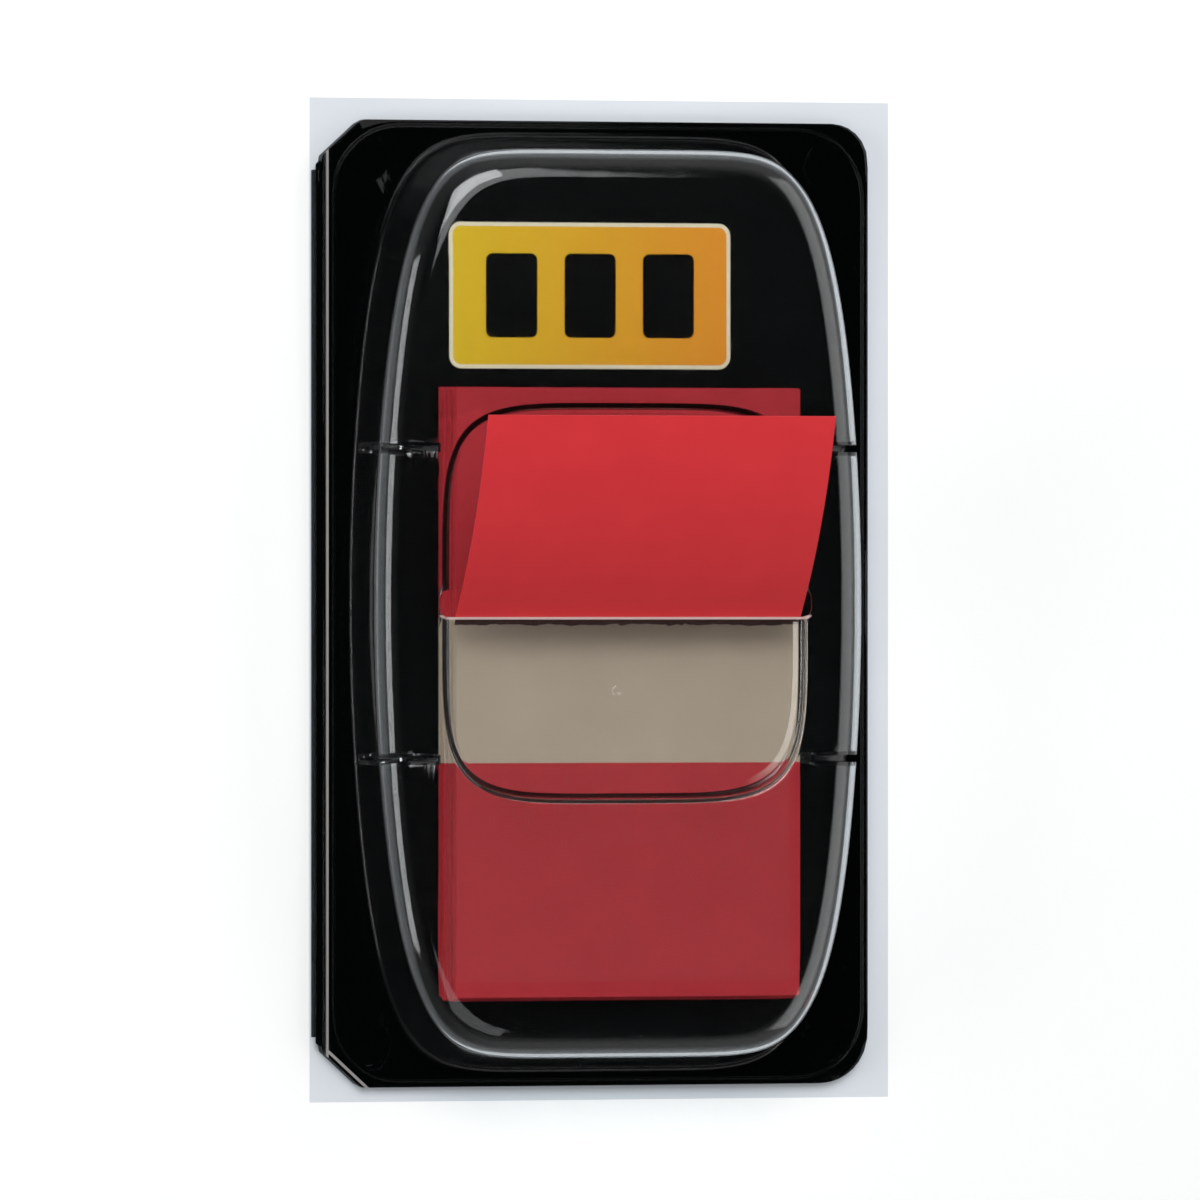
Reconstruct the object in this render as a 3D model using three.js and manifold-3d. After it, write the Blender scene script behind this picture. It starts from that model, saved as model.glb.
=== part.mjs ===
// Sticky index tabs in a flat dispenser case
//
// One sheet of clear plastic is folded along its left edge into a flat back leaf and a formed front leaf.
// Between the leaves lies a black card, and on the card a stack of film tabs.
// The front leaf is drawn up into a bubble over the stack. A shallow window is sunk into the top of the
// bubble, and a slot across the window lets one tab at a time come out. Four narrow ribs run down the
// bubble's long sides.
//
// Millimetres. The back of the case lies on z = 0 with its middle at the origin, +Y runs up the card
// and +Z points out of the front.

import * as THREE from 'three';
import { mergeVertices } from 'three/addons/utils/BufferGeometryUtils.js';
import Module from 'manifold-3d';

const wasm = await Module();
wasm.setup();

// Sizes of the film tabs
const tabWidth = 25.4;
const tabLength = 43.2;
const filmThickness = 0.1;
const bundleCount = 8;
const bundleThickness = 0.4;
const bundleJog = 0.2; // the most a bundle strays from the stack's true edge
const stackPlace = new THREE.Vector2(1.4, -6.4); // middle of the stack on the card
const leadingTabX = 0.55; // middle of the tab that stands in the slot
const pulledOut = 15.9; // how much of that tab is outside the slot
const exitAngle = 43; // its slope in the slot, in degrees
const endAngle = 19; // its slope at the free end, in degrees
const tabLandGap = 0.15; // between that tab and the bubble's top, where it leans over the slot's edge

// Sizes of the sheet and the card
const sheet = 0.3;
const cardThickness = 0.4;
const cardInset = 0.15;
const leafWidth = 40.0; // from the crease to the right edge
const leafLength = 68.6;
const spineWidth = 1.05; // from the crease to the fold
const creaseWidth = 0.36;
const creaseDepth = 0.12;
const foldChamfer = new THREE.Vector2(3.5, 3.2);
const topCorner = 2.7;
const bottomCorner = 3.6;

// Sizes of the raised panel that surrounds the bubble
const panelMargin = 0.3;
const panelCorner = 5.0;
const panelStep = 0.15;
const sealRadius = 1.8; // round spots where the sheet is pressed down on the card
const sealInset = 3.0;

// Sizes of the bubble
const bubbleWidth = 36.6;
const bubbleLength = 66.1;
const bubblePower = 7; // squareness of the superellipse
const bubbleBow = 0.17; // share by which the bubble is narrower at its ends
const bubbleRise = 6.9;
const bubbleCrown = 0.2;
const footRadius = 0.4;
const wallDraft = 0.35;
const shoulderRun = 2.7;
const shoulderRise = 2.2;

// Sizes of the window and its slot
const windowWidth = 26.9;
const windowLength = 28.3;
const windowPower = 5.0;
const windowDepth = 0.7;
const windowSlope = 0.7;
const slotWidth = 1.9;
const slotCorner = 0.6;
const slotClearance = 0.45; // at each end of the slot, beside the tab

// Sizes of the ribs
const ribSpacing = 22.0;
const ribWallWidth = 0.7;
const ribTipWidth = 0.4;
const ribFootRatio = 0.5; // width at the foot over width at the top
const ribFootHeight = 0.6; // above the panel
const ribWindowLand = 0.2; // between the window's edge and the tip, along x
const ribStackGap = 0.3;

// Fineness of the curved surfaces
const ringSteps = 72;
const ringSpread = 2 / 3; // spreads the points of a ring between its sides and its corners
const arcSteps = 6;

// Levels, from the back of the case upwards
const cardBottom = sheet;
const cardTop = cardBottom + cardThickness;
const rimTop = cardTop + sheet;
const panelTop = rimTop + panelStep;
const shoulderTop = panelTop + bubbleRise;
const windowFloor = shoulderTop - windowDepth;
const stackThickness = bundleCount * bundleThickness;
const stackTop = cardTop + stackThickness;

// Places that follow from the sizes
const leafRight = leafWidth / 2;
const crease = -leafWidth / 2;
const foldEdge = crease - spineWidth;
const foldRadius = rimTop / 2;
const foldCentre = foldEdge + foldRadius;
const panelHalf = new THREE.Vector2(leafWidth / 2 - panelMargin, leafLength / 2 - panelMargin);
const slotLength = tabWidth + 2 * (Math.abs(leadingTabX) + slotClearance);
const clearOfLeaves = cardThickness / 2; // cuts from inside start in the card's gap

const radians = THREE.MathUtils.degToRad;

// Turns a closed three.js geometry into a solid that can be cut and joined.
function solid(geometry) {
  const bare = new THREE.BufferGeometry();
  bare.setAttribute('position', geometry.getAttribute('position'));
  bare.setIndex(geometry.getIndex());
  const merged = mergeVertices(bare, 1e-5);
  const position = merged.getAttribute('position');
  return new wasm.Manifold(
    new wasm.Mesh({
      numProp: 3,
      vertProperties: new Float32Array(position.array),
      triVerts: new Uint32Array(merged.getIndex().array),
    }),
  );
}

// Joins the listed solids.
function join(solids) {
  return solids.reduce((whole, next) => whole.add(next));
}

// A ring of points round a superellipse at height z.
function superellipse(halfWidth, halfLength, power, z) {
  const ring = [];
  for (let i = 0; i < ringSteps; i += 1) {
    const turn = (i / ringSteps) * 2 * Math.PI;
    const across = Math.abs(Math.cos(turn)) ** ringSpread;
    const along = Math.abs(Math.sin(turn)) ** ringSpread;
    const reach = (across ** power + along ** power) ** (1 / power);
    const x = (halfWidth * Math.sign(Math.cos(turn)) * across) / reach;
    const y = (halfLength * Math.sign(Math.sin(turn)) * along) / reach;
    ring.push(new THREE.Vector3(x, y, z));
  }
  return ring;
}

// A ring round the bubble, whose long sides bow outward.
function bubbleRing(halfWidth, halfLength, z) {
  const ring = superellipse(halfWidth, halfLength, bubblePower, z);
  for (const point of ring) {
    point.x *= 1 - bubbleBow * (point.y / halfLength) ** 2;
  }
  return ring;
}

// A closed solid through rings of equally many points, from the lowest ring to the highest.
function loft(rings) {
  const count = rings[0].length;
  const points = rings.flat();
  const faces = [];
  for (let level = 0; level < rings.length - 1; level += 1) {
    for (let i = 0; i < count; i += 1) {
      const a = level * count + i;
      const b = level * count + ((i + 1) % count);
      faces.push(a, b, b + count);
      faces.push(a, b + count, a + count);
    }
  }
  for (const [level, upward] of [[0, false], [rings.length - 1, true]]) {
    const middle = new THREE.Vector3();
    rings[level].forEach((point) => middle.addScaledVector(point, 1 / count));
    points.push(middle);
    for (let i = 0; i < count; i += 1) {
      const a = level * count + i;
      const b = level * count + ((i + 1) % count);
      faces.push(points.length - 1, upward ? a : b, upward ? b : a);
    }
  }
  const geometry = new THREE.BufferGeometry().setFromPoints(points);
  geometry.setIndex(faces);
  return solid(geometry);
}

// A flat outline made into a plate between two heights.
function plate(shape, from, to) {
  const geometry = new THREE.ExtrudeGeometry(shape, {
    depth: to - from,
    bevelEnabled: false,
    curveSegments: arcSteps,
  });
  geometry.translate(0, 0, from);
  return solid(geometry);
}

// A rectangle with round corners, centred on the origin.
function roundedRectangle(halfWidth, halfLength, radius) {
  const right = halfWidth - radius;
  const top = halfLength - radius;
  const shape = new THREE.Shape();
  shape.absarc(right, top, radius, 0, Math.PI / 2);
  shape.absarc(-right, top, radius, Math.PI / 2, Math.PI);
  shape.absarc(-right, -top, radius, Math.PI, 1.5 * Math.PI);
  shape.absarc(right, -top, radius, 1.5 * Math.PI, 2 * Math.PI);
  return shape;
}

// The outline that card and leaves share: chamfered at the fold, round at the free edge.
function leafOutline(left, inset) {
  const right = leafRight - inset;
  const top = leafLength / 2 - inset;
  const chamferX = foldEdge + inset + foldChamfer.x;
  const chamferY = top - foldChamfer.y;
  const slope = foldChamfer.y / foldChamfer.x;
  const cutY = chamferY + (left - foldEdge - inset) * slope;
  const topRadius = topCorner - inset;
  const bottomRadius = bottomCorner - inset;
  const shape = new THREE.Shape();
  shape.moveTo(left, -cutY);
  shape.lineTo(chamferX, -top);
  shape.absarc(right - bottomRadius, -top + bottomRadius, bottomRadius, -Math.PI / 2, 0);
  shape.absarc(right - topRadius, top - topRadius, topRadius, 0, Math.PI / 2);
  shape.lineTo(chamferX, top);
  shape.lineTo(left, cutY);
  shape.closePath();
  return shape;
}

// Both leaves and the fold between them, as one bent sheet cut to the outline.
function foldedLeaves() {
  const section = new THREE.Shape();
  section.moveTo(leafRight, rimTop);
  section.lineTo(foldCentre, rimTop);
  section.absarc(foldCentre, foldRadius, foldRadius, Math.PI / 2, 1.5 * Math.PI);
  section.lineTo(leafRight, 0);
  section.lineTo(leafRight, cardBottom);
  section.lineTo(foldCentre, cardBottom);
  section.absarc(foldCentre, foldRadius, cardThickness / 2, 1.5 * Math.PI, Math.PI / 2, true);
  section.lineTo(leafRight, cardTop);
  section.closePath();
  const bent = new THREE.ExtrudeGeometry(section, {
    depth: leafLength,
    bevelEnabled: false,
    curveSegments: arcSteps,
  });
  bent.rotateX(Math.PI / 2);
  bent.translate(0, leafLength / 2, 0);
  return solid(bent).intersect(plate(leafOutline(foldEdge, 0), -sheet, rimTop + sheet));
}

// The four round spots, as posts from one height to another.
function sealPosts(radius, from, to) {
  const posts = [];
  for (const x of [-1, 1]) {
    for (const y of [-1, 1]) {
      const post = new THREE.CylinderGeometry(radius, radius, to - from, 4 * arcSteps);
      post.rotateX(Math.PI / 2);
      post.translate(x * (panelHalf.x - sealInset), y * (panelHalf.y - sealInset), (from + to) / 2);
      posts.push(solid(post));
    }
  }
  return join(posts);
}

// The raised panel, or the hollow under it when wall is the sheet's thickness.
function panelForm(wall) {
  const outline = roundedRectangle(panelHalf.x - wall, panelHalf.y - wall, panelCorner - wall);
  const from = wall > 0 ? cardTop - clearOfLeaves : rimTop - sheet / 2;
  const form = plate(outline, from, panelTop - wall);
  const spotFloor = wall > 0 ? from - sheet : rimTop;
  return form.subtract(sealPosts(sealRadius + wall, spotFloor, panelTop + sheet));
}

// The bubble without its window, or the space inside it when wall is the sheet's thickness.
function domeForm(wall) {
  const rings = [];
  const addRing = (inset, z) => {
    rings.push(bubbleRing(bubbleWidth / 2 - inset, bubbleLength / 2 - inset, z));
  };
  const floor = wall > 0 ? cardTop - clearOfLeaves : rimTop - sheet / 2;
  addRing(-footRadius, floor);
  const footSteps = 3;
  for (let i = 0; i <= footSteps; i += 1) {
    const turn = (i / footSteps) * (Math.PI / 2);
    const radius = footRadius + wall;
    addRing(-footRadius + radius * Math.sin(turn), panelTop + footRadius - radius * Math.cos(turn));
  }
  for (let i = 0; i <= arcSteps; i += 1) {
    const turn = (i / arcSteps) * (Math.PI / 2);
    const inset = wallDraft + shoulderRun - (shoulderRun - wall) * Math.cos(turn);
    addRing(inset, shoulderTop - shoulderRise + (shoulderRise - wall) * Math.sin(turn));
  }
  const flatWidth = bubbleWidth / 2 - wallDraft - shoulderRun;
  const flatLength = bubbleLength / 2 - wallDraft - shoulderRun;
  for (const share of [0.9, 0.7, 0.4]) {
    const z = shoulderTop - wall + bubbleCrown * (1 - share ** 2);
    rings.push(bubbleRing(flatWidth * share, flatLength * share, z));
  }
  return loft(rings);
}

// The body that sinks the window into the bubble's top.
function windowForm(wall) {
  const reach = 2; // how far the body stands above the bubble, in window depths
  const rings = [0, 1, 1 + reach].map((level) => {
    const inset = windowSlope * (1 - level) - wall;
    const z = windowFloor - wall + windowDepth * level;
    return superellipse(windowWidth / 2 - inset, windowLength / 2 - inset, windowPower, z);
  });
  return loft(rings);
}

// The wedge that presses one rib into the side of the bubble: side is -1 or 1.
function ribForm(side, y, wall) {
  const outside = bubbleWidth / 2 + footRadius;
  const topTip = windowWidth / 2 + ribWindowLand;
  const stackEdge = Math.abs(stackPlace.x) + tabWidth / 2 + bundleJog;
  const stackTip = Math.max(topTip, stackEdge + ribStackGap + sheet);
  const levels = [
    { z: panelTop + ribFootHeight - wall, tip: stackTip, ratio: ribFootRatio },
    { z: stackTop + ribStackGap, tip: stackTip, ratio: (1 + ribFootRatio) / 2 },
    { z: shoulderTop + bubbleCrown + sheet, tip: topTip, ratio: 1 },
  ];
  const rings = levels.map(({ z, tip, ratio }) => {
    const nearTip = (ribTipWidth * ratio) / 2 + wall;
    const nearWall = (ribWallWidth * ratio) / 2 + wall;
    const corners = [
      new THREE.Vector3(side * (tip - wall), y - side * nearTip, z),
      new THREE.Vector3(side * outside, y - side * nearWall, z),
      new THREE.Vector3(side * outside, y + side * nearWall, z),
      new THREE.Vector3(side * (tip - wall), y + side * nearTip, z),
    ];
    return corners;
  });
  return loft(rings);
}

function ribForms(wall) {
  const wedges = [];
  for (const side of [-1, 1]) {
    for (const end of [-1, 1]) {
      wedges.push(ribForm(side, (end * ribSpacing) / 2, wall));
    }
  }
  return join(wedges);
}

// The clear case, one sheet of even thickness all over
function clearCase() {
  const outside = domeForm(0).subtract(windowForm(0)).subtract(ribForms(0));
  const inside = domeForm(sheet).subtract(windowForm(sheet)).subtract(ribForms(sheet));
  const slotOutline = roundedRectangle(slotLength / 2, slotWidth / 2, slotCorner);
  const slot = plate(slotOutline, windowFloor - 2 * sheet, shoulderTop + bubbleCrown + sheet);
  const groove = new THREE.Shape();
  groove.moveTo(crease, rimTop - creaseDepth);
  groove.lineTo(crease + creaseWidth, rimTop + creaseDepth);
  groove.lineTo(crease - creaseWidth, rimTop + creaseDepth);
  groove.closePath();
  const creaseCut = new THREE.ExtrudeGeometry(groove, { depth: leafLength, bevelEnabled: false });
  creaseCut.rotateX(Math.PI / 2);
  creaseCut.translate(0, leafLength / 2, 0);
  return foldedLeaves()
    .subtract(solid(creaseCut))
    .add(panelForm(0))
    .subtract(panelForm(sheet))
    .add(outside)
    .subtract(inside)
    .subtract(slot);
}

// The card fills the gap between the leaves and stops where the sheet starts to bend.
function backingCard() {
  return plate(leafOutline(foldCentre, cardInset), cardBottom, cardTop);
}

// The stack, in bundles that stray a little from each other as hand-squared film does
function tabStack() {
  const bundles = [];
  for (let i = 0; i < bundleCount; i += 1) {
    const bundle = new THREE.BoxGeometry(tabWidth, tabLength, bundleThickness);
    bundle.translate(
      stackPlace.x + bundleJog * Math.sin(2.4 * i),
      stackPlace.y + bundleJog * Math.cos(1.9 * i),
      cardTop + bundleThickness * (i + 0.5),
    );
    bundles.push(solid(bundle));
  }
  return join(bundles);
}

// The leading tab lies on the stack, bends up to the slot and leans back outside it.
function leadingTab() {
  const half = filmThickness / 2;
  const level = stackTop + half;
  const exit = radians(exitAngle);
  const lean = radians(exitAngle - endAngle);
  const slotLevel = windowFloor - sheet / 2;
  const overLand = shoulderTop + bubbleCrown + tabLandGap - slotLevel;
  const exitY = slotWidth / 2 - overLand / Math.tan(exit);
  const bendRadius = (slotLevel - level) / (1 - Math.cos(exit));
  const liftOff = exitY - bendRadius * Math.sin(exit);
  const lowerEnd = liftOff - (tabLength - pulledOut - bendRadius * exit);
  const leanRadius = pulledOut / lean;
  const leanCentre = new THREE.Vector2(
    exitY + leanRadius * Math.sin(exit),
    slotLevel - leanRadius * Math.cos(exit),
  );
  const leanStart = Math.PI / 2 + exit;
  const side = new THREE.Shape();
  side.moveTo(lowerEnd, level - half);
  side.absarc(liftOff, level + bendRadius, bendRadius + half, -Math.PI / 2, exit - Math.PI / 2);
  side.absarc(leanCentre.x, leanCentre.y, leanRadius - half, leanStart, leanStart - lean, true);
  side.absarc(leanCentre.x, leanCentre.y, leanRadius + half, leanStart - lean, leanStart);
  side.absarc(liftOff, level + bendRadius, bendRadius - half, exit - Math.PI / 2, -Math.PI / 2, true);
  side.lineTo(lowerEnd, level + half);
  side.closePath();
  const geometry = new THREE.ExtrudeGeometry(side, {
    depth: tabWidth,
    bevelEnabled: false,
    curveSegments: 12,
  });
  geometry.rotateX(Math.PI / 2);
  geometry.rotateZ(Math.PI / 2);
  geometry.translate(leadingTabX - tabWidth / 2, 0, 0);
  return solid(geometry);
}

// Makes the named mesh of a finished solid.
function part(name, body, material) {
  const { vertProperties, triVerts } = body.getMesh();
  const geometry = new THREE.BufferGeometry();
  geometry.setAttribute('position', new THREE.BufferAttribute(vertProperties, 3));
  geometry.setIndex(new THREE.BufferAttribute(triVerts, 1));
  geometry.computeVertexNormals();
  const mesh = new THREE.Mesh(geometry, material);
  mesh.name = name;
  return mesh;
}

const clearPlastic = new THREE.MeshStandardMaterial({
  color: 0xe9edf0,
  roughness: 0.08,
  metalness: 0,
  transparent: true,
  opacity: 0.3,
});
const blackCard = new THREE.MeshStandardMaterial({ color: 0x0b0d0e, roughness: 0.6, metalness: 0 });
const stackedFilm = new THREE.MeshStandardMaterial({ color: 0xa5383f, roughness: 0.55, metalness: 0 });
const redFilm = new THREE.MeshStandardMaterial({ color: 0xc93238, roughness: 0.5, metalness: 0 });

const indexTabs = new THREE.Group();
indexTabs.add(part('clear_case', clearCase(), clearPlastic));
indexTabs.add(part('backing_card', backingCard(), blackCard));
indexTabs.add(part('tab_stack', tabStack(), stackedFilm));
indexTabs.add(part('leading_tab', leadingTab(), redFilm));

export default indexTabs;
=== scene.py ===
# %% [markdown]
# # Sticky index tabs in a clear case
# A sheet of clear plastic is folded round a black card and blown up into a bubble over a stack of film
# tabs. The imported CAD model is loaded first, because every piece below is made to its measures.

import math

import bmesh
import bpy
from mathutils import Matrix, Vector
from mathutils.kdtree import KDTree


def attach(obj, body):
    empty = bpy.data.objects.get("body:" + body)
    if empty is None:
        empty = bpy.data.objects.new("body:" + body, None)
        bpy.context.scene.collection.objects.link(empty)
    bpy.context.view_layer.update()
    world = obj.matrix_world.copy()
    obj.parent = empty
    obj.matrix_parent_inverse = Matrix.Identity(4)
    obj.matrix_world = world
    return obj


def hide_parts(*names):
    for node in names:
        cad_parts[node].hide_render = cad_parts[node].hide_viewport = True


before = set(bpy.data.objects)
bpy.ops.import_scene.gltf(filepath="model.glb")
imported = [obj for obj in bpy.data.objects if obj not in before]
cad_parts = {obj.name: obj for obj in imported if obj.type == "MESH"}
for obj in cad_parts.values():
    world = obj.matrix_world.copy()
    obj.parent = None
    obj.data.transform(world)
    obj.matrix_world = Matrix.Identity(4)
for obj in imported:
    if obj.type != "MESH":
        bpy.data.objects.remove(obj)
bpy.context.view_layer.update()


# %% [markdown]
# ## Small helpers
# Sizes are easier to read in millimetres, and Blender works in metres, so one function turns one into
# the other. Colours are written as they look on a screen, and the renderer wants them linear.

# %% Millimetres, colours and nodes
def mm(size):
    """A length in metres from one in millimetres."""
    return size * 0.001


def linear(colour):
    """A linear colour from an sRGB hex value such as 'C93238'."""
    parts = [int(colour[i : i + 2], 16) / 255 for i in (0, 2, 4)]
    flat = [p / 12.92 if p <= 0.04045 else ((p + 0.055) / 1.055) ** 2.4 for p in parts]
    return (*flat, 1.0)


def new_material(name):
    """An empty node material, with its tree and its output."""
    material = bpy.data.materials.new(name)
    material.use_nodes = True
    tree = material.node_tree
    tree.nodes.clear()
    return material, tree, tree.nodes.new("ShaderNodeOutputMaterial")


def node(tree, kind, settings=None, **inputs):
    """Add a node, with its settings, and its inputs as values or as sockets to link from."""
    made = tree.nodes.new(kind)
    for name, value in (settings or {}).items():
        setattr(made, name, value)
    for name, value in inputs.items():
        key = int(name[1:]) if name[0] == "_" else name.replace("_", " ")
        if isinstance(value, bpy.types.NodeSocket):
            tree.links.new(value, made.inputs[key])
        else:
            made.inputs[key].default_value = value
    return made


def arithmetic(tree, operation, *terms):
    """The result of one Math node."""
    inputs = {f"_{i}": term for i, term in enumerate(terms)}
    return node(tree, "ShaderNodeMath", {"operation": operation}, **inputs).outputs[0]


def rounded_area(tree, x, y, centre, half, radius):
    """Distance in metres from the edge of a rounded rectangle, negative inside it."""
    outside = []
    for axis, middle, reach in ((x, centre[0], half[0]), (y, centre[1], half[1])):
        away = arithmetic(tree, "ABSOLUTE", arithmetic(tree, "SUBTRACT", axis, mm(middle)))
        over = arithmetic(tree, "SUBTRACT", away, mm(reach - radius))
        outside.append(arithmetic(tree, "MAXIMUM", over, 0.0))
    squares = [arithmetic(tree, "MULTIPLY", v, v) for v in outside]
    length = arithmetic(tree, "SQRT", arithmetic(tree, "ADD", *squares))
    return arithmetic(tree, "SUBTRACT", length, mm(radius))


def inside_of(tree, distance, inset=0.0):
    """1 inside the outline that lies an inset further in, and 0 outside it."""
    return arithmetic(tree, "LESS_THAN", distance, mm(-inset))


def mixed_colour(tree, share, first, second):
    """The mix of two colours, each given as a colour or as a socket."""
    made = tree.nodes.new("ShaderNodeMix")
    made.data_type = "RGBA"
    for key, value in ((0, share), (6, first), (7, second)):
        if isinstance(value, bpy.types.NodeSocket):
            tree.links.new(value, made.inputs[key])
        else:
            made.inputs[key].default_value = value
    return made.outputs[2]


print("helpers ready")

# %% [markdown]
# ## The sizes
# These follow the model's own values. The bubble and its window are superellipses: between an ellipse
# and a rectangle, with a power that says how square they are.

# %% Sizes in millimetres
SHEET = 0.3
RIM_TOP = 1.0
PANEL_TOP = 1.15
CARD_TOP = 0.7
LEAF_RIGHT = 20.0
LEAF_TOP = 34.3
FOLD_EDGE = -21.05
FOLD_CENTRE = FOLD_EDGE + RIM_TOP / 2
CREASE = -20.0
CHAMFER = (3.5, 3.2)
TOP_CORNER, BOTTOM_CORNER = 2.7, 3.6
PANEL_HALF = (19.7, 34.0)
PANEL_CORNER = 5.0
BUBBLE_HALF = (18.3, 33.05)
BUBBLE_POWER = 7.0
BUBBLE_BOW = 0.17
SHOULDER_TOP = PANEL_TOP + 6.9
CROWN = 0.2
FOOT_RADIUS, WALL_DRAFT, SHOULDER_RUN, SHOULDER_RISE = 0.4, 0.35, 2.7, 2.2
END_DRAFT = 0.5
WINDOW_HALF = (13.45, 14.15)
WINDOW_POWER = 5.0
WINDOW_DEPTH = 0.7
WINDOW_FLOOR = SHOULDER_TOP - WINDOW_DEPTH
TAB_WIDTH, TAB_LENGTH = 25.4, 43.2
STACK_PLACE = (1.4, -6.4)
STACK_TOP = CARD_TOP + 3.2
RED_LENGTH = 16.7
TOP_RED_LENGTH = 16.2
LEADING_X = 0.55
SLOT_HALF = (13.7, 0.95)
SLOT_CORNER = 0.6
RIB_PLACE = 11.0
RIB_TOP_TIP = WINDOW_HALF[0] + 0.2
SEAL_PLACE = (17.0, 31.3)
SEAL_RADIUS = 1.4
DIMPLE_PLACE = (-0.5, -6.15)
POINTS = 256
SPREAD = 2 / 3
print("the case is", 2 * LEAF_TOP, "mm long")

# %% [markdown]
# ## The clear sheet: rings
# A blown bubble is easiest to build as rings, one inside the other, from the edge of the sheet to the
# middle of the window. Each ring has the same number of points, so an edge extrude joins it to the
# last. First come functions that give the points of each outline.


# %% Outlines as rings of points
def superellipse(half, power, z):
    """A ring of points at height z, or at z(x, y) where z is a function."""
    ring = []
    for i in range(POINTS):
        turn = 2 * math.pi * (i + 0.5) / POINTS
        across, along = abs(math.cos(turn)) ** SPREAD, abs(math.sin(turn)) ** SPREAD
        reach = (across**power + along**power) ** (1 / power)
        x = half[0] * math.copysign(across / reach, math.cos(turn))
        y = half[1] * math.copysign(along / reach, math.sin(turn))
        ring.append((x, y, z(x, y) if callable(z) else z))
    return ring


def bubble_ring(half, z):
    """A ring round the bubble, whose long sides bow outward."""
    ring = superellipse(half, BUBBLE_POWER, z)
    return [(x * (1 - BUBBLE_BOW * (y / half[1]) ** 2), y, z) for x, y, z in ring]


def along_outline(corners, z, like):
    """Points on a closed outline, in the directions of the points of another ring."""
    ring = []
    for x, y, _ in like:
        best = None
        for (ax, ay), (bx, by) in zip(corners, corners[1:] + corners[:1]):
            ex, ey = bx - ax, by - ay
            turn = x * ey - y * ex
            if abs(turn) < 1e-12:
                continue
            reach = (ax * ey - ay * ex) / turn
            share = (ax * y - ay * x) / turn
            if reach > 0 and -1e-9 <= share <= 1 + 1e-9 and (best is None or reach < best):
                best = reach
        ring.append((x * best, y * best, z))
    return ring


def arc(cx, cy, radius, start, steps=10):
    """Points on a quarter turn that starts at the given angle."""
    turns = [math.radians(start + 90 * i / steps) for i in range(steps + 1)]
    return [(cx + radius * math.cos(t), cy + radius * math.sin(t)) for t in turns]


def leaf_corners(left, inset=0.0):
    """The outline of a leaf: chamfered at the fold, round at the free edge."""
    right, top = LEAF_RIGHT - inset, LEAF_TOP - inset
    chamfer_x = FOLD_EDGE + inset + CHAMFER[0]
    cut = top - CHAMFER[1] + (left - FOLD_EDGE - inset) * CHAMFER[1] / CHAMFER[0]
    low, high = BOTTOM_CORNER - inset, TOP_CORNER - inset
    corners = [(left, -cut), (chamfer_x, -top)]
    corners += arc(right - low, -top + low, low, -90) + arc(right - high, top - high, high, 0)
    return corners + [(chamfer_x, top), (left, cut)]


def panel_corners(inset):
    """The outline of the raised panel: a rectangle with round corners."""
    right, top = PANEL_HALF[0] - inset, PANEL_HALF[1] - inset
    radius = PANEL_CORNER - inset
    cx, cy = right - radius, top - radius
    corners = arc(cx, cy, radius, 0) + arc(-cx, cy, radius, 90)
    return corners + arc(-cx, -cy, radius, 180) + arc(cx, -cy, radius, 270)


print("a ring has", POINTS, "points")

# %% [markdown]
# A function then extrudes the open edge of the sheet to the next ring. The new points lie on the old
# ones at first, and are moved to their places.


# %% Growing a sheet ring by ring
def start_ring(name, ring):
    """A new object whose mesh is one closed ring of points, left in edit mode."""
    bpy.ops.object.select_all(action="DESELECT")
    bpy.ops.mesh.primitive_circle_add(vertices=len(ring), radius=1, fill_type="NOTHING")
    piece = bpy.context.object
    piece.name = name
    for vertex, place in zip(piece.data.vertices, ring):
        vertex.co = [mm(v) for v in place]
    bpy.ops.object.mode_set(mode="EDIT")
    bpy.ops.mesh.select_all(action="SELECT")
    return piece


def grow_ring(piece, before, after):
    """Extrude the selected ring, and move each new point from its place in one list to the next."""
    finder = KDTree(len(before))
    for index, place in enumerate(before):
        finder.insert([mm(v) for v in place], index)
    finder.balance()
    bpy.ops.mesh.extrude_region_move()
    mesh = bmesh.from_edit_mesh(piece.data)
    for vertex in (v for v in mesh.verts if v.select):
        index = finder.find(vertex.co)[1]
        vertex.co = [mm(v) for v in after[index]]
    bmesh.update_edit_mesh(piece.data)


def grow_rings(name, rings):
    """A closed piece through all the rings, from its flat bottom to its flat top."""
    piece = start_ring(name, rings[0])
    bpy.ops.mesh.edge_face_add()
    for before, after in zip(rings, rings[1:]):
        grow_ring(piece, before, after)
    bpy.ops.mesh.select_all(action="SELECT")
    bpy.ops.mesh.normals_make_consistent(inside=False)
    bpy.ops.object.mode_set(mode="OBJECT")
    return piece


print("ring tools ready")

# %% [markdown]
# The rings themselves run over the rim, up the small step of the panel, round the foot of the bubble,
# up its wall, over the shoulder, across the slightly crowned top, and down the soft step into the
# window. Steps are drawn as S-curves, since warm plastic never takes a sharp corner.


# %% The rings of the front leaf
def crowned(x, y):
    """Height of the bubble's top, which rises a little to its middle."""
    half = [side - WALL_DRAFT - SHOULDER_RUN for side in BUBBLE_HALF]
    width = half[0] * (1 - BUBBLE_BOW * min(1.0, abs(y) / half[1]) ** 2)
    reach = (abs(x) / width) ** BUBBLE_POWER + (abs(y) / half[1]) ** BUBBLE_POWER
    return SHOULDER_TOP + CROWN * max(0.0, 1 - reach ** (2 / BUBBLE_POWER))


def shrunk(half, inset):
    """Half sizes less the same inset on each."""
    return half[0] - inset, half[1] - inset


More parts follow.
